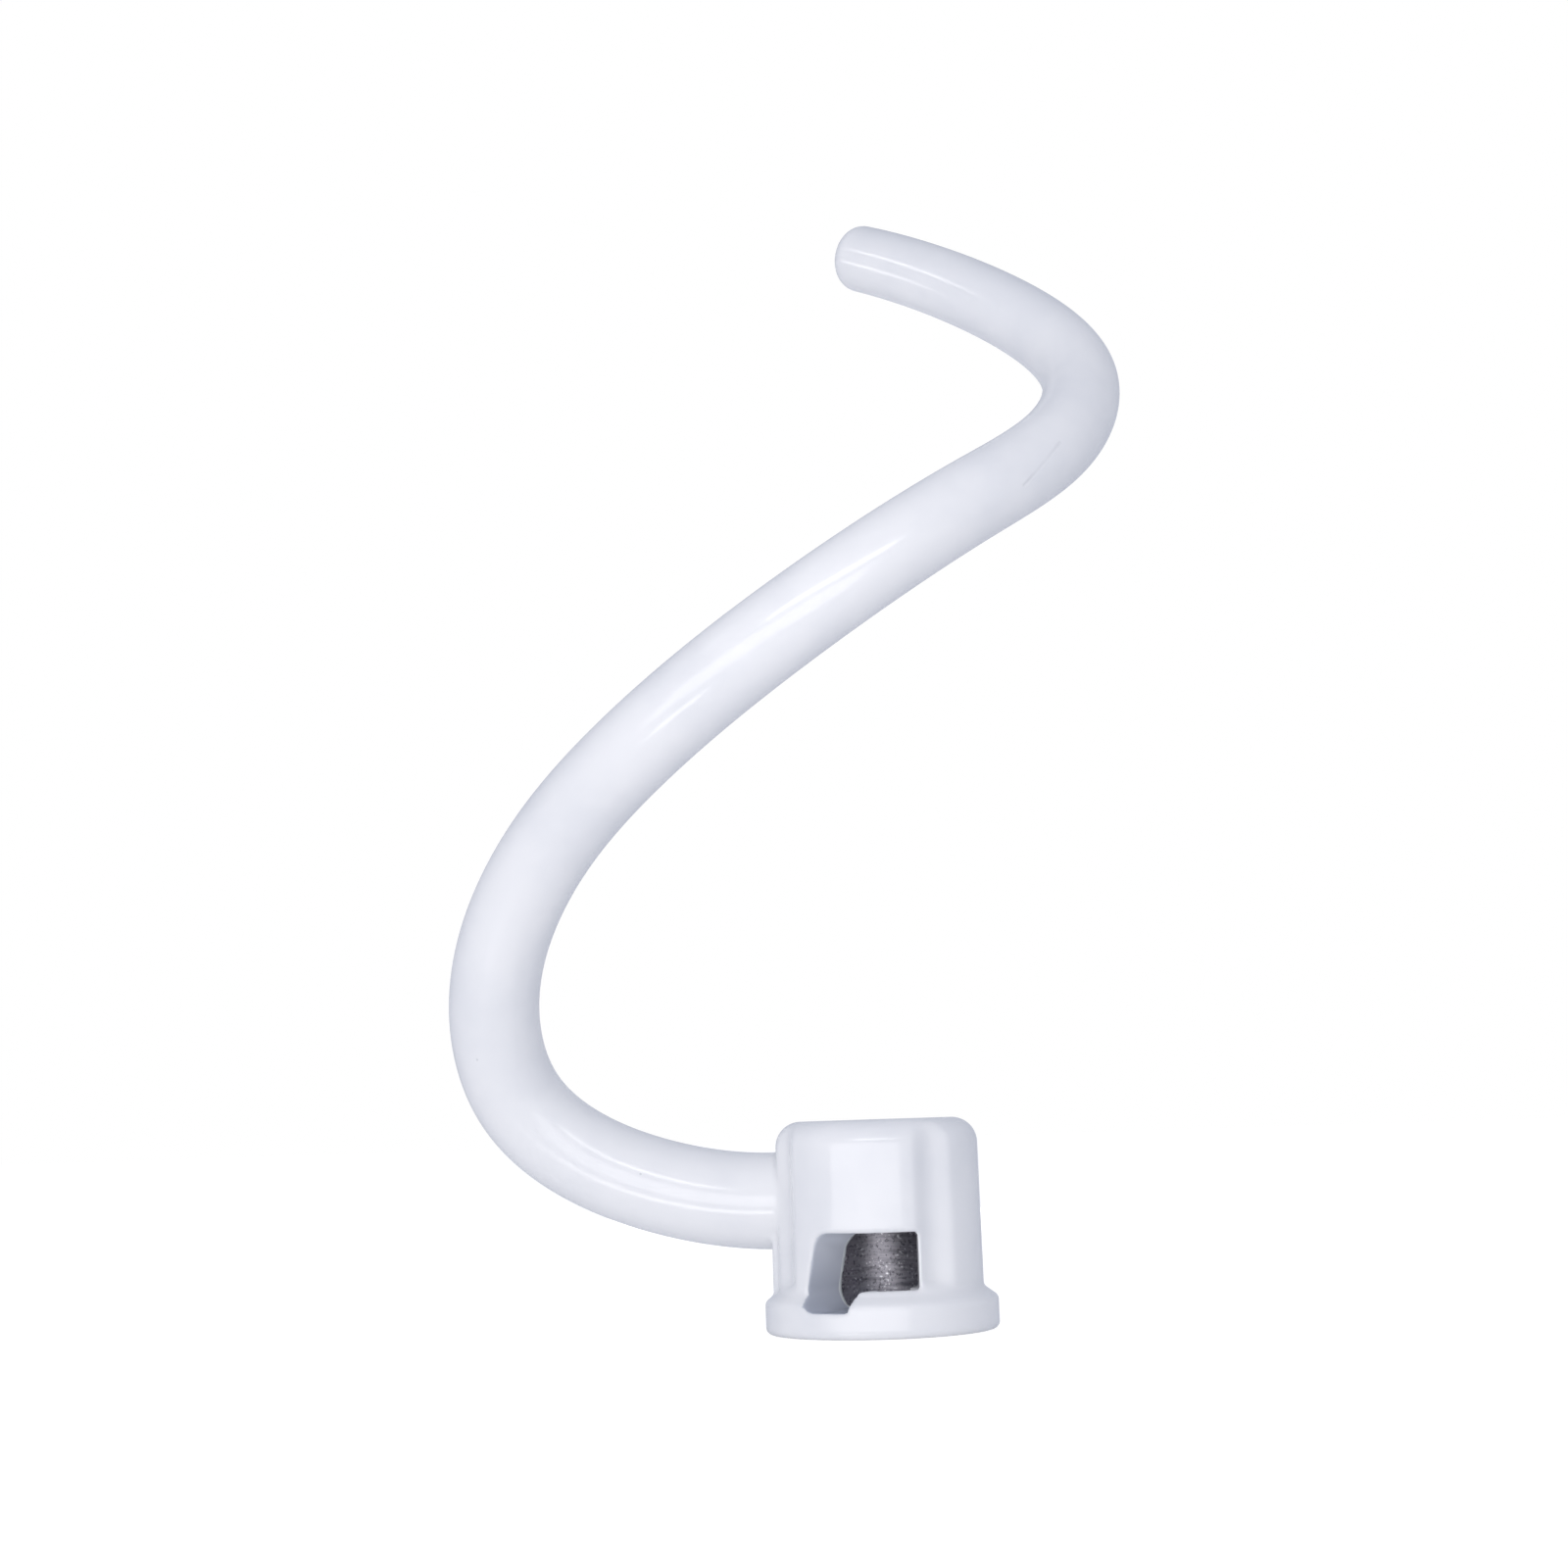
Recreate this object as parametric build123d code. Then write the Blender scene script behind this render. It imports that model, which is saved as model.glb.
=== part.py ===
from build123d import *
import os

# Stand mixer dough hook: one aluminium casting, a hub with a blind shaft bore and a tapering spiral arm.
# Frame: origin at the centre of the bore's mouth on the flange face, +Z along the bore towards the tip,
# the bayonet window faces -Y and the arm leaves the hub towards -X. Millimetres.

# Shaft and drive pin that the hub takes
shaft_diameter = 12.7
shaft_clearance = 0.3
pin_diameter = 4.0
pin_clearance = 0.6
pin_reach = 11.0
pin_end_clearance = 0.3

# Hub: turned outline and the wall left above the blind bore
body_diameter = 25.2
body_draft = 0.2
flange_proud = 1.75
rim_height = 3.85
shoulder_rise = 1.3
hub_height = 25.7
end_wall = 4.2
foot_round = 0.8
rim_round = 0.8
shoulder_round = 0.7
top_round = 3.1

# Shallow flutes down the hub body, clear of the arm's root and opposite
groove_gap = 0.3
groove_radius = 3.6
groove_depth = 0.9
groove_lip_round = 2.0
groove_stock = 0.05
groove_above_shoulder = 0.7

# Bayonet window: heights above the flange face, sideways places where it meets the hub's front
window_top = 12.3
window_floor = 5.5
notch_floor = 3.1
window_right = 8.75
window_left_top = -4.75
window_left_bulge = -6.65
bulge_height = 5.4
window_left_bottom = -5.3
step_top = 0.8
step_bottom = 0.45
left_top_round = 1.3
left_bottom_round = 1.5
step_round = 0.9
corner_round = 0.4
left_wall_flare = 0.48
right_wall_flare = 0.325
step_slant = 0.185
keyway_angle = 28.0
cut_margin = 1.5

# Pad under the arm's root, level with the hub's side
pad_width = 9.2
pad_proud = 0.1
pad_round = 0.8

# Arm: its axis leaves the hub below the top, then passes these stations, counted from the hub axis
arm_below_top = 9.2
arm_stations = [
    (-6.0, 0.0, 0.3),
    (-29.0, -2.5, 2.0),
    (-44.5, -8.5, 13.0),
    (-45.0, -14.5, 25.5),
    (-38.0, -19.5, 39.0),
    (-22.0, -26.0, 52.5),
    (1.5, -29.5, 67.0),
    (21.0, -19.0, 81.5),
    (29.0, -8.5, 90.0),
    (30.0, 2.0, 100.5),
    (17.5, 12.0, 115.0),
    (-5.4, 19.7, 128.1),
]
arm_root_diameter = 12.1
arm_tip_diameter = 8.9
tip_round = 2.4
root_fillet = 0.5

body_radius = body_diameter / 2
flange_radius = body_radius + flange_proud
bore_radius = (shaft_diameter + shaft_clearance) / 2
shoulder_height = rim_height + shoulder_rise
groove_start = shoulder_height + groove_above_shoulder
groove_reach = body_radius + groove_radius - groove_depth
groove_across = arm_root_diameter / 2 + groove_gap + groove_radius
groove_along = (groove_reach**2 - groove_across**2) ** 0.5
arm_height = hub_height - arm_below_top


def nearest_corner(face, x, y):
    return face.vertices().sort_by_distance((x, y, 0))[0]


def hub_blank():
    corners = [
        (0, 0),
        (flange_radius, 0),
        (flange_radius, rim_height),
        (body_radius, shoulder_height),
        (body_radius - body_draft / 2, hub_height),
        (0, hub_height),
    ]
    outline = make_face(Polyline(*corners, close=True))
    rounds = [foot_round, rim_round, shoulder_round, top_round]
    for (radius, height), rounding in zip(corners[1:5], rounds):
        outline = fillet(nearest_corner(outline, radius, height), rounding)
    return revolve(Plane.XZ * outline, Axis.Z)


def grooved_envelope():
    section = Circle(body_radius + groove_stock)
    for x in (-groove_along, groove_along):
        for y in (-groove_across, groove_across):
            section -= Pos(x, y) * Circle(groove_radius)
    section = fillet(section.vertices(), groove_lip_round)
    body = Pos(0, 0, groove_start) * extrude(section, hub_height)
    base = extrude(Circle(2 * flange_radius), groove_start)
    return body + base


def root_pad():
    reach = body_radius + pad_proud
    height = arm_height - foot_round
    block = Pos(-reach / 2, 0, foot_round + height / 2) * Box(reach, pad_width, height)
    outer_edges = block.edges().filter_by(Axis.Z).group_by(Axis.X)[0]
    return fillet(outer_edges, pad_round)


def arm():
    path = Spline(*[(x, y, arm_height + rise) for x, y, rise in arm_stations])
    root = Plane(path @ 0, z_dir=path % 0) * Circle(arm_root_diameter / 2)
    tip = Plane(path @ 1, z_dir=path % 1) * Circle(arm_tip_diameter / 2)
    rod = sweep([root, tip], path=path, multisection=True)
    tip_edges = [edge for edge in rod.edges() if (edge.center() - path @ 1).length < arm_tip_diameter / 2]
    return fillet(tip_edges, tip_round)


def arm_on_hub():
    hub = hub_blank() & grooved_envelope()
    rod = arm()
    joined = hub + rod
    return fillet(new_edges(hub, rod, combined=joined), root_fillet)


def window_outline(y):
    depth = y + body_radius
    left = left_wall_flare * depth
    right = window_right - right_wall_flare * depth
    step = step_slant * depth
    corners = [
        (window_left_bottom + left, notch_floor, left_bottom_round),
        (step_bottom + step, notch_floor, corner_round),
        (step_top + step, window_floor, step_round),
        (right, window_floor, corner_round),
        (right, window_top, corner_round),
        (window_left_top + left, window_top, left_top_round),
        (window_left_bulge + left, bulge_height, left_bottom_round),
    ]
    outline = make_face(Polyline(*[(x, z) for x, z, rounding in corners], close=True))
    for x, z, rounding in corners:
        outline = fillet(nearest_corner(outline, x, z), rounding)
    return Plane((0, y, 0), x_dir=(1, 0, 0), z_dir=(0, -1, 0)) * outline


def bayonet_cut():
    bore = extrude(Circle(bore_radius), hub_height - end_wall)
    outer_y = -flange_radius - cut_margin
    inner_y = -bore_radius / 2 + cut_margin / 2
    window = loft([window_outline(outer_y), window_outline(inner_y)], ruled=True)
    length = pin_reach + pin_end_clearance
    height = window_floor + step_round
    keyway = Pos(length / 2, 0, height / 2) * Box(length, pin_diameter + pin_clearance, height)
    return bore + window + Rot(0, 0, keyway_angle - 90) * keyway


os.makedirs("parts", exist_ok=True)
hook = arm_on_hub() + root_pad() - bayonet_cut()
hook.label = "dough_hook"
export_step(hook, "parts/dough_hook.step")
print("volume", round(hook.volume), "valid", hook.is_valid, "size", hook.bounding_box().size)
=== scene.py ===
import bpy
import math
import numpy as np
from mathutils import Matrix, Vector


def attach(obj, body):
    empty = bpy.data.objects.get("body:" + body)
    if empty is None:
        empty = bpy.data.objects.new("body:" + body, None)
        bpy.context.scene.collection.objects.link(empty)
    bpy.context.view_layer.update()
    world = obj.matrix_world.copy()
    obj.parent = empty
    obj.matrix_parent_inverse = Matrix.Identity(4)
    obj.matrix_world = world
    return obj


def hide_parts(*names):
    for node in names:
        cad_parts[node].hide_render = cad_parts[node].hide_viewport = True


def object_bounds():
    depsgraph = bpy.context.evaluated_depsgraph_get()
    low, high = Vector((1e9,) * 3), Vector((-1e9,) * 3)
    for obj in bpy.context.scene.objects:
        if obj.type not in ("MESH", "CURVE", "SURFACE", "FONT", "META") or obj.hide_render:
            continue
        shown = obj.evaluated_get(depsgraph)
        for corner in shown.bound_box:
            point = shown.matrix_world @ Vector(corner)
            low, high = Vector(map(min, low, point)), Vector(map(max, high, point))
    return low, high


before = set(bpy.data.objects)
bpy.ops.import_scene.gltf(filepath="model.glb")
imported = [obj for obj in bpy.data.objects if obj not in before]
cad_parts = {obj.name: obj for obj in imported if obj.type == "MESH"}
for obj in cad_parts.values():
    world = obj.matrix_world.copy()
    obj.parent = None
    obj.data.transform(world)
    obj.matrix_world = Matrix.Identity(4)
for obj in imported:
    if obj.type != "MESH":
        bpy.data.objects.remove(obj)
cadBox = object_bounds()  # the CAD model's own box, which bounds the grid that the hook is meshed in
scene = bpy.context.scene
perMetre = 1000  # millimetres in a metre
print("frame loaded", sorted(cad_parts))


class Wire:  # one socket of a node tree, so that node maths reads as plain maths
    def __init__(self, bench, socket):
        self.bench = bench
        self.socket = socket

    def math(self, operation, *others):
        return self.bench.node("ShaderNodeMath", {"operation": operation}, dict(enumerate((self, *others))))

    def __add__(self, other):
        return self.math("ADD", other)

    def __radd__(self, other):
        return self.math("ADD", other)

    def __sub__(self, other):
        return self.math("SUBTRACT", other)

    def __rsub__(self, other):
        return self.bench.node("ShaderNodeMath", {"operation": "SUBTRACT"}, {0: other, 1: self})

    def __mul__(self, other):
        return self.math("MULTIPLY", other)

    def __rmul__(self, other):
        return self.math("MULTIPLY", other)

    def __truediv__(self, other):
        return self.math("DIVIDE", other)

    def __neg__(self):
        return self.math("MULTIPLY", -1.0)

    def __abs__(self):
        return self.math("ABSOLUTE")

    def smaller(self, other):
        return self.math("MINIMUM", other)

    def larger(self, other):
        return self.math("MAXIMUM", other)

    def root(self):
        return self.math("SQRT")

    def ease(self, low, high):  # 0 below low, 1 above high, smooth between
        sockets = {"Value": self, "From Min": low, "From Max": high}
        return self.bench.node("ShaderNodeMapRange", {"interpolation_type": "SMOOTHSTEP"}, sockets)


class Bench:  # a node tree and the one method that adds to it
    def __init__(self, tree):
        self.tree = tree

    def node(self, kind, settings=None, sockets=None, out=0):
        made = self.tree.nodes.new(kind)
        for name, value in (settings or {}).items():
            setattr(made, name, value)
        for name, value in (sockets or {}).items():
            if isinstance(value, Wire):
                self.tree.links.new(value.socket, made.inputs[name])
            else:
                made.inputs[name].default_value = value
        return Wire(self, made.outputs[out]) if len(made.outputs) else made

    def vector(self, operation, sockets, out=0):
        return self.node("ShaderNodeVectorMath", {"operation": operation}, sockets, out)

    def noise(self, place, size, detail):
        return self.node("ShaderNodeTexNoise", None, {"Vector": place, "Scale": 1 / size, "Detail": detail})

    def blend(self, first, second, share):  # between two colours
        return self.node("ShaderNodeMix", {"data_type": "RGBA"}, {0: share, 6: first, 7: second}, 2)

    def outputs(self, wire, *names):  # more outputs of the node that a wire comes from
        return [Wire(self, wire.socket.node.outputs[name]) for name in names]


# The arm's route: a smooth curve through the stations that the casting's axis passes, in millimetres
armRoute = {
    "stations": [
        (-6.0, 0.0, 16.8),
        (-29.0, -2.5, 18.5),
        (-44.5, -8.5, 29.5),
        (-45.0, -14.5, 42.0),
        (-38.0, -19.5, 55.5),
        (-22.0, -26.0, 69.0),
        (1.5, -29.5, 83.5),
        (21.0, -19.0, 98.0),
        (29.0, -8.5, 106.5),
        (30.0, 2.0, 117.0),
        (17.5, 12.0, 131.5),
        (-5.4, 19.7, 144.6),
    ],
    "stepsBetween": 80,
}


def routeSlopes(points, knots):  # slopes that keep the bending even from one span to the next
    count = len(points)
    spans = np.diff(knots)
    rows = np.eye(count)
    goals = np.zeros((count, 3))
    for i in range(1, count - 1):
        before, after = spans[i - 1], spans[i]
        rows[i, i - 1 : i + 2] = after, 2 * (before + after), before
        goals[i] = 3 * after / before * (points[i] - points[i - 1])
        goals[i] += 3 * before / after * (points[i + 1] - points[i])
    for end, reach in ((0, slice(0, 4)), (-1, slice(-4, None))):
        powers = np.vander(knots[reach] - knots[end], 4, increasing=True)
        goals[end] = np.linalg.solve(powers, points[reach])[1]
    return np.linalg.solve(rows, goals)


def makeRoute():
    points = np.array(armRoute["stations"])
    chords = np.linalg.norm(np.diff(points, axis=0), axis=1)
    knots = np.concatenate([[0.0], np.cumsum(chords)])
    slopes = routeSlopes(points, knots)
    curve = bpy.data.curves.new("armRoute", "CURVE")
    curve.dimensions = "3D"
    curve.resolution_u = armRoute["stepsBetween"]
    spline = curve.splines.new("BEZIER")
    spline.bezier_points.add(len(points) - 1)
    for i, point in enumerate(spline.bezier_points):
        point.handle_left_type = "FREE"
        point.handle_right_type = "FREE"
        point.co = points[i]
        point.handle_left = points[i] - slopes[i] * chords[max(i - 1, 0)] / 3
        point.handle_right = points[i] + slopes[i] * chords[min(i, len(chords) - 1)] / 3
    route = bpy.data.objects.new("armRoute", curve)
    scene.collection.objects.link(route)
    return route


# The casting, in millimetres as on the part's drawing, with the softer edges that the coating gives it
hookSizes = {
    "rootRadius": 6.05,
    "tipRadius": 4.45,
    "tipRound": 2.4,
    "rootFillet": 0.5,
    "flangeRadius": 14.35,
    "rimHeight": 3.85,
    "shoulderRise": 1.3,
    "rimRound": 0.32,
    "footRound": 0.8,
    "bodyRadius": 12.6,
    "bodyDraft": 0.005,
    "shoulderRound": 0.28,
    "hubHeight": 25.7,
    "topRound": 3.1,
    "grooveAcross": 9.95,
    "grooveAlong": 11.622,
    "grooveRadius": 3.6,
    "grooveLip": 0.66,
    "grooveEnd": 0.8,
    "grooveStart": 5.85,
    "padReach": 12.7,
    "padHalf": 4.6,
    "padTop": 16.5,
    "padRound": 0.8,
    "padCrease": 0.35,
    "boreRadius": 6.5,
    "boreDepth": 21.5,
    "windowTop": 12.3,
    "windowFloor": 5.5,
    "notchFloor": 3.1,
    "windowRight": 8.75,
    "leftTop": -4.75,
    "leftBulge": -6.65,
    "bulgeHeight": 5.4,
    "leftBottom": -5.3,
    "stepTop": 0.8,
    "stepBottom": 0.45,
    "leftFlare": 0.48,
    "rightFlare": 0.325,
    "stepSlant": 0.185,
    "leftTopRound": 1.3,
    "leftTopWiden": 0.16,
    "bulgeRound": 0.45,
    "leftBottomRound": 1.15,
    "stepRound": 0.77,
    "cornerRound": 0.4,
    "windowBack": 2.5,
    "keywayHalf": 2.3,
    "keywayReach": 11.3,
    "keywayTop": 6.4,
    "boreEdge": 0.25,
    "coatEdge": 0.32,
}
hookMesh = {"cell": 0.42, "margin": 1.2, "skinLevel": 0.5, "evenings": 3, "settles": 3, "keywayTurn": 28.0}


def outerEdge(a, b, radius):  # metal where both are metal, its edge rounded
    u = (a + radius).larger(0.0)
    v = (b + radius).larger(0.0)
    return a.larger(b).smaller(-radius) + (u * u + v * v).root()


def innerEdge(a, b, radius):  # metal where either is metal, the corner between filled
    u = (radius - a).larger(0.0)
    v = (radius - b).larger(0.0)
    return a.smaller(b).larger(radius) - (u * u + v * v).root()


def length(a, b):
    return (a * a + b * b).root()


def sideOf(x, z, start, end):  # distance to the right of a line seen from its start to its end
    run = end[0] - start[0]
    rise = end[1] - start[1]
    return ((x - start[0]) * rise - (z - start[1]) * run) / length(run, rise)


def hubField(x, y, z, sizes):
    radius = length(x, y)
    wall = radius - sizes["bodyRadius"] + (z - sizes["rimHeight"]) * sizes["bodyDraft"]
    groove = length(abs(x) - sizes["grooveAlong"], abs(y) - sizes["grooveAcross"]) - sizes["grooveRadius"]
    groove = outerEdge(groove, sizes["grooveStart"] - z, sizes["grooveEnd"])
    body = outerEdge(wall, z - sizes["hubHeight"], sizes["topRound"])
    body = outerEdge(body, -groove, sizes["grooveLip"])
    proud = sizes["flangeRadius"] - sizes["bodyRadius"]
    slope = (radius - sizes["flangeRadius"]) * sizes["shoulderRise"] + (z - sizes["rimHeight"]) * proud
    slope = slope / length(proud, sizes["shoulderRise"])
    flange = outerEdge(radius - sizes["flangeRadius"], slope, sizes["rimRound"])
    hub = outerEdge(innerEdge(body, flange, sizes["shoulderRound"]), -z, sizes["footRound"])
    pad = outerEdge(-x - sizes["padReach"], abs(y) - sizes["padHalf"], sizes["padRound"])
    pad = pad.larger(z - sizes["padTop"]).larger(sizes["footRound"] - z).larger(x)
    return innerEdge(hub, pad, sizes["padCrease"])


def windowField(x, y, z, sizes):
    depth = y + sizes["bodyRadius"]
    leftX = x - depth * sizes["leftFlare"]
    stepX = x - depth * sizes["stepSlant"]
    top = (sizes["leftTop"], sizes["windowTop"])
    bulge = (sizes["leftBulge"], sizes["bulgeHeight"])
    bottom = (sizes["leftBottom"], sizes["notchFloor"])
    upperLeft = sideOf(leftX, z, top, bulge)
    lowerLeft = sideOf(leftX, z, bulge, bottom)
    left = outerEdge(upperLeft, lowerLeft, sizes["bulgeRound"])
    stepFoot = (sizes["stepBottom"], sizes["notchFloor"])
    step = sideOf(stepX, z, stepFoot, (sizes["stepTop"], sizes["windowFloor"]))
    notch = outerEdge(sizes["notchFloor"] - z, step, sizes["cornerRound"])
    floor = innerEdge(sizes["windowFloor"] - z, notch, sizes["stepRound"])
    window = outerEdge(left, floor, sizes["leftBottomRound"])
    topRound = sizes["leftTopRound"] + depth * sizes["leftTopWiden"]
    window = outerEdge(window, z - sizes["windowTop"], topRound)
    right = x + depth * sizes["rightFlare"] - sizes["windowRight"]
    window = outerEdge(window, right, sizes["cornerRound"])
    return window.larger(y + sizes["windowBack"])


def cutField(x, y, z, sizes):
    turn = math.radians(hookMesh["keywayTurn"])
    bore = (length(x, y) - sizes["boreRadius"]).larger(z - sizes["boreDepth"])
    along = x * math.sin(turn) - y * math.cos(turn)
    across = x * math.cos(turn) + y * math.sin(turn)
    keyway = (abs(across) - sizes["keywayHalf"]).larger(along - sizes["keywayReach"]).larger(-along)
    keyway = keyway.larger(z - sizes["keywayTop"])
    opening = innerEdge(bore, windowField(x, y, z, sizes), sizes["boreEdge"])
    return innerEdge(opening, keyway, sizes["boreEdge"])


def armField(bench, place, routeWire, sizes):  # distance to the tapering round bar along the route
    factor = bench.node("GeometryNodeSplineParameter")
    thickness = sizes["rootRadius"] + factor * (sizes["tipRadius"] - sizes["rootRadius"])
    stored = bench.node("GeometryNodeStoreNamedAttribute", {"domain": "POINT"},
                        {"Geometry": routeWire, "Name": "thickness", "Value": thickness})
    line = bench.node("GeometryNodeCurveToMesh", None, {"Curve": stored})
    near = bench.node("GeometryNodeProximity", {"target_element": "EDGES"}, {0: line}, "Distance")
    index = bench.node("GeometryNodeSampleNearest", {"domain": "POINT"}, {"Geometry": line})
    kept = bench.node("GeometryNodeInputNamedAttribute", {"data_type": "FLOAT"}, {"Name": "thickness"})
    local = bench.node("GeometryNodeSampleIndex", {"data_type": "FLOAT", "domain": "POINT"},
                       {"Geometry": line, "Value": kept, "Index": index})
    bar = near - local
    tip = bench.node("GeometryNodeSampleCurve", {"mode": "FACTOR"},
                     {"Curves": routeWire, "Factor": 1.0}, "Position")
    heading = bench.outputs(tip, "Tangent")[0]
    offset = bench.vector("SUBTRACT", {0: place, 1: tip})
    past = bench.vector("DOT_PRODUCT", {0: offset, 1: heading}, "Value")
    return outerEdge(bar, past, sizes["tipRound"])


def hookTree(low, high, cells):
    tree = bpy.data.node_groups.new("hookShape", "GeometryNodeTree")
    tree.interface.new_socket("Geometry", in_out="OUTPUT", socket_type="NodeSocketGeometry")
    tree.interface.new_socket("Arm Route", in_out="INPUT", socket_type="NodeSocketObject")
    tree.interface.new_socket("Finish", in_out="INPUT", socket_type="NodeSocketMaterial")
    for name in hookSizes:
        tree.interface.new_socket(name, in_out="INPUT", socket_type="NodeSocketFloat")
    bench = Bench(tree)
    given = tree.nodes.new("NodeGroupInput")
    sizes = {name: Wire(bench, given.outputs[name]) for name in hookSizes}
    routeObject = Wire(bench, given.outputs["Arm Route"])
    route = bench.node("GeometryNodeObjectInfo", None, {"Object": routeObject}, "Geometry")
    place = bench.node("GeometryNodeInputPosition")
    x = bench.node("ShaderNodeSeparateXYZ", None, {"Vector": place}, "X")
    y, z = bench.outputs(x, "Y", "Z")
    hub = hubField(x, y, z, sizes)
    solid = innerEdge(hub, armField(bench, place, route, sizes), sizes["rootFillet"])
    metal = outerEdge(solid, -cutField(x, y, z, sizes), sizes["coatEdge"])
    level = hookMesh["skinLevel"]
    grid = {"Density": level - metal, "Min": low, "Max": high}
    grid.update({"Resolution " + axis: count for axis, count in zip("XYZ", cells)})
    block = bench.node("GeometryNodeVolumeCube", None, grid)
    skin = bench.node("GeometryNodeVolumeToMesh", {"resolution_mode": "GRID"},
                      {"Volume": block, "Threshold": level})
    even = bench.node("GeometryNodeBlurAttribute", {"data_type": "FLOAT_VECTOR"},
                      {0: place, "Iterations": hookMesh["evenings"]})
    skin = bench.node("GeometryNodeSetPosition", None, {"Geometry": skin, "Position": even})
    outward = bench.node("GeometryNodeInputNormal")
    onto = bench.vector("SCALE", {0: outward, "Scale": -metal})
    for settle in range(hookMesh["settles"]):  # each pass draws the points onto the exact shape
        skin = bench.node("GeometryNodeSetPosition", None, {"Geometry": skin, "Offset": onto})
    skin = bench.node("GeometryNodeTransform", None, {"Geometry": skin, "Scale": (1 / perMetre,) * 3})
    skin = bench.node("GeometryNodeSetShadeSmooth", None, {"Geometry": skin})
    skin = bench.node("GeometryNodeRealizeInstances", None, {"Geometry": skin})
    skin = bench.node("GeometryNodeSetMaterial", None,
                      {"Geometry": skin, "Material": Wire(bench, given.outputs["Finish"])})
    bench.node("NodeGroupOutput", None, {"Geometry": skin})
    return tree


def makeHook(finish):
    route = makeRoute()
    low = np.array(cadBox[0]) * perMetre - hookMesh["margin"]
    high = np.array(cadBox[1]) * perMetre + hookMesh["margin"]
    cells = [int(count) for count in np.ceil((high - low) / hookMesh["cell"])]
    tree = hookTree(tuple(low), tuple(high), cells)
    blank = bpy.data.objects.new("hookBlank", bpy.data.meshes.new("hookBlank"))
    scene.collection.objects.link(blank)
    shape = blank.modifiers.new("hookShape", "NODES")
    shape.node_group = tree
    for item in tree.interface.items_tree:
        if item.name in hookSizes:
            shape[item.identifier] = float(hookSizes[item.name])
        elif item.name == "Arm Route":
            shape[item.identifier] = route
        elif item.name == "Finish":
            shape[item.identifier] = finish
    bpy.context.view_layer.update()
    ready = blank.evaluated_get(bpy.context.evaluated_depsgraph_get())
    mesh = bpy.data.meshes.new_from_object(ready)
    mesh.name = "doughHook"
    bpy.data.objects.remove(blank)
    bpy.data.objects.remove(route)
    hook = bpy.data.objects.new("doughHook", mesh)
    scene.collection.objects.link(hook)
    triangles = sum(len(face.vertices) - 2 for face in mesh.polygons)
    print("hook meshed", len(mesh.vertices), "points", triangles, "triangles")
    return hook


# Finish: a glossy white coat over the casting; the shaft bore is bare turned metal
coatLook = {
    "colour": (0.845, 0.85, 0.86, 1.0),
    "shadeColour": (0.79, 0.8, 0.82, 1.0),
    "cloudSize": 14.0,
    "cloudDetail": 3.0,
    "cloudRange": (0.3, 0.6),
    "peelSize": 1.5,
    "peelDepth": 0.006,
    "waveSize": 6.0,
    "waveDepth": 0.05,
    "smoothDetail": 1.0,
    "roughness": 0.11,
    "roughnessSpread": 0.08,
    "satinRoughness": 0.08,
    "satinAcross": (-38.0, -28.0),
    "satinWander": 3.0,
    "pitSpacing": 6.5,
    "pitRadius": 0.1,
    "pitShare": 0.4,
    "pitShareBlur": 0.02,
    "pitDepth": 0.02,
    "pitColour": (0.7, 0.71, 0.73, 1.0),
    "creaseStart": (30.9, -15.0, 104.6),
    "creaseEnd": (27.4, -19.4, 98.8),
    "creaseHalf": 0.35,
    "creaseDepth": 0.06,
    "creasePaintedShade": 0.4,
    # painted shade on the window's walls: a grey, and a darker grey lower down
    "slotShadeColour": (0.62, 0.645, 0.7, 1.0),
    # painted highlight along the window walls' edge at the bore
    "slotEdgeHighlightColour": (0.74, 0.78, 0.78, 1.0),
    "slotDeepShadeColour": (0.46, 0.49, 0.56, 1.0),
    "slotHeights": (2.9, 12.4),
    "slotSides": (-6.6, 1.0),
    "slotDepth": (0.105, 0.35),
    "slotEdge": 7.2,
    "slotBlur": 0.1,
}
boreLook = {
    "edge": 6.58,
    "edgeBlur": 0.05,
    "top": 21.7,
    "colour": (0.38, 0.37, 0.405, 1.0),
    "darkColour": (0.1, 0.1, 0.115, 1.0),
    "brightColour": (0.85, 0.85, 0.88, 1.0),
    "lineSpacing": 0.3,
    "lineReach": 4.0,
    "lineDepth": 0.02,
    "lineDetail": 3.0,
    "lineRange": (0.3, 0.6),
    "lineShare": 0.55,
    "speckSize": 0.35,
    "speckDetail": 2.0,
    "darkRange": (0.3, 0.45),
    "darkShare": 0.8,
    "brightRange": (0.58, 0.72),
    "patchSize": 2.1,
    "patchRange": (0.35, 0.6),
    "roughness": 0.3,
    "roughnessSpread": 0.2,
}


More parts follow.
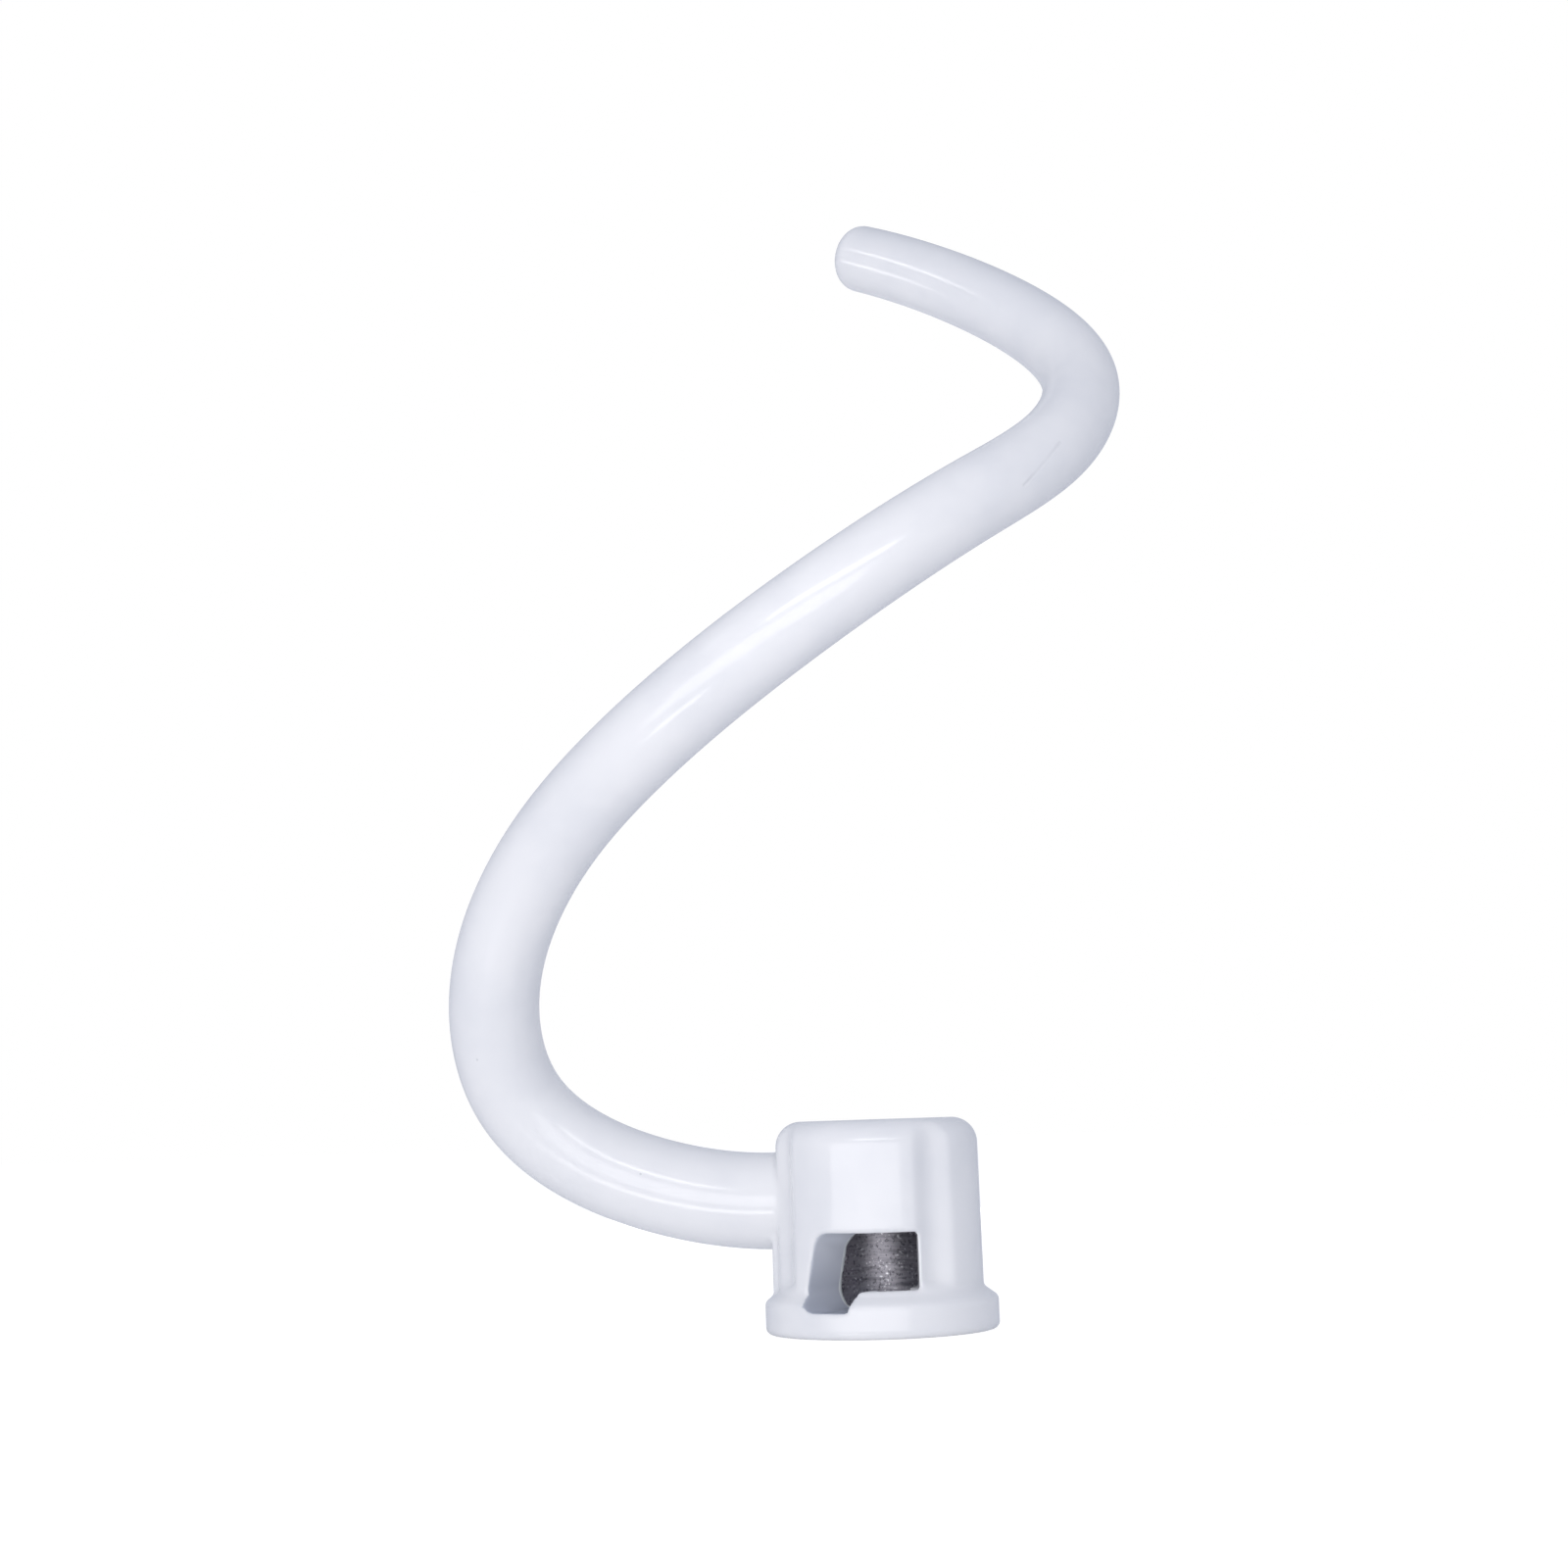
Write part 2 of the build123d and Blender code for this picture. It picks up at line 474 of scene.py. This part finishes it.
def coatMaterial():
    material = bpy.data.materials.new("whiteCoat")
    material.use_nodes = True
    material.node_tree.nodes.clear()
    bench = Bench(material.node_tree)
    look = coatLook
    bore = boreLook
    metres = bench.node("ShaderNodeTexCoord", None, None, "Object")
    place = bench.vector("SCALE", {0: metres, "Scale": perMetre})
    x = bench.node("ShaderNodeSeparateXYZ", None, {"Vector": place}, "X")
    y, z = bench.outputs(x, "Y", "Z")
    radius = length(x, y)

    cloud = bench.noise(place, look["cloudSize"], look["cloudDetail"])
    peel = bench.noise(place, look["peelSize"], look["smoothDetail"])
    wave = bench.noise(place, look["waveSize"], look["smoothDetail"])
    cells = {"Vector": place, "Scale": 1 / look["pitSpacing"]}
    near = bench.node("ShaderNodeTexVoronoi", None, cells, "Distance")
    chance = bench.node("ShaderNodeSeparateColor", None, {"Color": bench.outputs(near, "Color")[0]}, "Red")
    pit = 1.0 - (near * look["pitSpacing"]).ease(look["pitRadius"], 2 * look["pitRadius"])
    spared = 1 - look["pitShare"]
    pit = pit * chance.ease(spared, spared + look["pitShareBlur"])
    along = Vector(look["creaseEnd"]) - Vector(look["creaseStart"])
    offset = bench.vector("SUBTRACT", {0: place, 1: look["creaseStart"]})
    share = bench.vector("DOT_PRODUCT", {0: offset, 1: along / along.length_squared}, "Value")
    share = share.larger(0.0).smaller(1.0)
    foot = bench.vector("SCALE", {0: along, "Scale": share})
    gap = bench.vector("LENGTH", {0: bench.vector("SUBTRACT", {0: offset, 1: foot})}, "Value")
    crease = 1.0 - gap.ease(0.0, look["creaseHalf"])
    coat = bench.blend(look["shadeColour"], look["colour"], cloud.ease(*look["cloudRange"]))
    coat = bench.blend(coat, look["pitColour"], pit)
    # painted shade: the coat is darkened along the crease on the right bend, which the bump also cuts as a
    # shallow groove
    coat = bench.blend(coat, look["pitColour"], crease * look["creasePaintedShade"])
    outer = hookSizes["flangeRadius"]
    inner = hookSizes["bodyRadius"]
    slant = (outer - inner) / hookSizes["shoulderRise"]
    skin = (outer - (z - hookSizes["rimHeight"]) * slant).smaller(outer).larger(inner)
    slot = (skin - radius).ease(*look["slotDepth"])
    blur = look["slotBlur"]
    for wire, (low, high) in ((x, look["slotSides"]), (z, look["slotHeights"])):
        slot = slot * wire.ease(low, low + blur) * (1.0 - wire.ease(high, high + blur))
    slotShadeBlend = bench.blend(look["slotDeepShadeColour"], look["slotShadeColour"], z.ease(*look["slotHeights"]))
    coat = bench.blend(coat, slotShadeBlend, slot)  # painted shade on the window's recessed walls, darker towards the bottom
    # a painted highlight: a lighter line along the walls' edge next to the bore
    rim = 1.0 - radius.ease(look["slotEdge"] - blur, look["slotEdge"])
    coat = bench.blend(coat, look["slotEdgeHighlightColour"], slot * rim)
    wander = wave * look["satinWander"]
    satin = 1.0 - (x + wander).ease(*look["satinAcross"])  # the coat is duller round the outer bend
    coatRough = look["roughness"] + cloud * look["roughnessSpread"] + satin * look["satinRoughness"]
    coatHeight = peel * look["peelDepth"] + wave * look["waveDepth"]
    coatHeight = coatHeight - pit * look["pitDepth"] - crease * look["creaseDepth"]

    stretch = (1 / bore["lineReach"], 1 / bore["lineReach"], 1 / bore["lineSpacing"])
    stretched = bench.vector("MULTIPLY", {0: place, 1: stretch})
    lines = bench.noise(stretched, 1.0, bore["lineDetail"])
    speck = bench.noise(place, bore["speckSize"], bore["speckDetail"])
    patch = bench.noise(place, bore["patchSize"], bore["speckDetail"])
    lineShare = bore["lineShare"]
    bright = (1 - lineShare) + lines.ease(*bore["lineRange"]) * lineShare
    metal = bench.blend(bore["darkColour"], bore["colour"], bright)
    dark = (1.0 - speck.ease(*bore["darkRange"])) * bore["darkShare"]
    metal = bench.blend(metal, bore["darkColour"], dark)
    glint = speck.ease(*bore["brightRange"]) * patch.ease(*bore["patchRange"])
    metal = bench.blend(metal, bore["brightColour"], glint)
    metalRough = bore["roughness"] + lines * bore["roughnessSpread"]
    metalHeight = lines * bore["lineDepth"] + speck * bore["lineDepth"]

    blur = bore["edgeBlur"]
    ragged = radius + peel * blur
    bare = 1.0 - ragged.ease(bore["edge"], bore["edge"] + blur)
    bare = bare * (1.0 - z.ease(bore["top"], bore["top"] + blur))
    height = coatHeight + bare * (metalHeight - coatHeight)
    raised = {"Strength": 1.0, "Distance": 1 / perMetre, "Height": height}
    relief = bench.node("ShaderNodeBump", None, raised, "Normal")
    surface = bench.node("ShaderNodeBsdfPrincipled", None, {
        "Base Color": bench.blend(coat, metal, bare),
        "Roughness": coatRough + bare * (metalRough - coatRough),
        "Metallic": bare,
        "Normal": relief,
    })
    bench.node("ShaderNodeOutputMaterial", None, {"Surface": surface})
    return material


hook = makeHook(coatMaterial())
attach(hook, "root")
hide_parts("dough_hook")


# Camera: where the photograph was taken from, in millimetres and degrees about the hub's axis
cameraPlace = {
    "distance": 310.46,
    "azimuth": 17.5,
    "height": 25.56,
    "yaw": 19.34,
    "pitch": 7.81,
    "roll": -1.88,
    "lens": 56.78,
    "sensor": 36.0,
    "nearest": 10.0,
}


def placeCamera():
    angles = ("azimuth", "yaw", "pitch", "roll")
    around, yaw, pitch, roll = (math.radians(cameraPlace[name]) for name in angles)
    ahead = Vector((-math.sin(yaw) * math.cos(pitch), math.cos(yaw) * math.cos(pitch), math.sin(pitch)))
    right = Vector((math.cos(yaw), math.sin(yaw), 0.0))
    up = right.cross(ahead)
    across = right * math.cos(roll) + up * math.sin(roll)
    above = up * math.cos(roll) - right * math.sin(roll)
    away = cameraPlace["distance"]
    place = Vector((math.sin(around) * away, -math.cos(around) * away, cameraPlace["height"])) / perMetre
    data = bpy.data.cameras.new("camera")
    data.sensor_width = cameraPlace["sensor"]
    data.lens = cameraPlace["lens"]
    data.clip_start = cameraPlace["nearest"] / perMetre
    camera = bpy.data.objects.new("camera", data)
    turned = Matrix((across, above, -ahead)).transposed()
    camera.matrix_world = Matrix.Translation(place) @ turned.to_4x4()
    scene.collection.objects.link(camera)
    scene.camera = camera


placeCamera()
print("camera placed")


# Studio: a white floor, a pale cool surround and soft lamps; turn is counted from the camera, to the right
lamps = {
    "frontSoftbox": {"turn": -14.0, "away": 0.37, "height": 0.03, "wide": 0.6, "tall": 0.16, "power": 0.63},
    "upperBar": {"turn": -2.0, "away": 0.26, "height": 0.16, "wide": 0.24, "tall": 0.035, "power": 0.14},
    "lowerBar": {"turn": -34.0, "away": 0.26, "height": -0.1, "wide": 0.07, "tall": 0.035, "power": 0.035},
    "leftUpper": {"turn": -67.0, "away": 0.4, "height": 0.35, "wide": 0.05, "tall": 0.05, "power": 0.06},
    "leftLower": {"turn": -84.0, "away": 0.4, "height": 0.1, "wide": 0.05, "tall": 0.05, "power": 0.05},
    "backSoftbox": {"turn": 180.0, "away": 0.4, "height": 0.1, "wide": 0.3, "tall": 0.2, "power": 0.6},
}
lampColour = (1.0, 0.97, 0.95)
surround = {"colour": (0.822, 0.864, 1.0), "strength": 0.61, "below": 0.6, "inGloss": 0.62, "horizon": 0.02}
floorLook = {"colour": (0.9, 0.9, 0.9, 1.0), "white": 0.7, "glow": 1.25, "reach": 3.0}
aim = Vector((0.0, 0.0, 0.07))
tipGrid = {"lamps": ("leftUpper", "leftLower"), "angle": 13.0, "aim": Vector((-0.002, 0.018, 0.142))}


def addLamp(name, lamp):
    around = math.radians(cameraPlace["azimuth"] + lamp["turn"])
    place = Vector((math.sin(around) * lamp["away"], -math.cos(around) * lamp["away"], lamp["height"]))
    data = bpy.data.lights.new(name, "AREA")
    data.shape = "RECTANGLE"
    data.size = lamp["wide"]
    data.size_y = lamp["tall"]
    data.energy = lamp["power"]
    data.color = lampColour
    target = aim
    if name in tipGrid["lamps"]:  # a grid keeps the lamp to the arm's end, and it looks no brighter
        half = math.radians(tipGrid["angle"])
        data.spread = 2 * half
        data.energy *= 1 - half / math.tan(half)
        target = tipGrid["aim"]
    light = bpy.data.objects.new(name, data)
    light.location = place
    light.rotation_euler = (place - target).to_track_quat("Z", "Y").to_euler()
    light.visible_camera = False
    light.visible_glossy = name != "backSoftbox"  # so that it leaves no bright rims
    scene.collection.objects.link(light)


def makeSurround():  # white behind the casting, cool and softer in what lights it
    world = bpy.data.worlds.new("surround")
    world.use_nodes = True
    world.node_tree.nodes.clear()
    scene.world = world
    bench = Bench(world.node_tree)
    seen = bench.node("ShaderNodeLightPath", None, None, "Is Camera Ray")
    gloss = bench.outputs(seen, "Is Glossy Ray")[0]
    heading = bench.node("ShaderNodeTexCoord", None, None, "Generated")
    rise = bench.node("ShaderNodeSeparateXYZ", None, {"Vector": heading}, "Z")
    above = rise.ease(-surround["horizon"], surround["horizon"])
    sky = surround["below"] + above * (surround["strength"] - surround["below"])
    sky = sky * (1.0 - gloss) + gloss * surround["inGloss"]
    ambient = bench.node("ShaderNodeBackground", None, {"Color": (*surround["colour"], 1.0), "Strength": sky})
    white = bench.node("ShaderNodeBackground", None, {"Color": (1.0, 1.0, 1.0, 1.0), "Strength": 1.0})
    mixed = bench.node("ShaderNodeMixShader", None, {0: seen, 1: ambient, 2: white})
    bench.node("ShaderNodeOutputWorld", None, {"Surface": mixed})


def makeFloor():
    reach = floorLook["reach"]
    mesh = bpy.data.meshes.new("floor")
    corners = [(-reach, -reach, 0), (reach, -reach, 0), (reach, reach, 0), (-reach, reach, 0)]
    mesh.from_pydata(corners, [], [(0, 1, 2, 3)])
    floor = bpy.data.objects.new("floor", mesh)
    floor.visible_shadow = False  # the low front lamps reach the casting from under the floor's level
    floor.visible_glossy = False
    scene.collection.objects.link(floor)
    material = bpy.data.materials.new("whiteFloor")
    material.use_nodes = True
    material.node_tree.nodes.clear()
    bench = Bench(material.node_tree)
    seen = bench.node("ShaderNodeLightPath", None, None, "Is Camera Ray")
    matt = bench.node("ShaderNodeBsdfDiffuse", None, {"Color": floorLook["colour"]})
    glow = {"Color": (1.0, 1.0, 1.0, 1.0), "Strength": floorLook["glow"]}
    white = bench.node("ShaderNodeEmission", None, glow)
    mixed = bench.node("ShaderNodeMixShader", None, {0: seen * floorLook["white"], 1: matt, 2: white})
    bench.node("ShaderNodeOutputMaterial", None, {"Surface": mixed})
    mesh.materials.append(material)


for name, lamp in lamps.items():
    addLamp(name, lamp)
makeSurround()
makeFloor()
scene.view_settings.view_transform = "Standard"
print("studio ready")
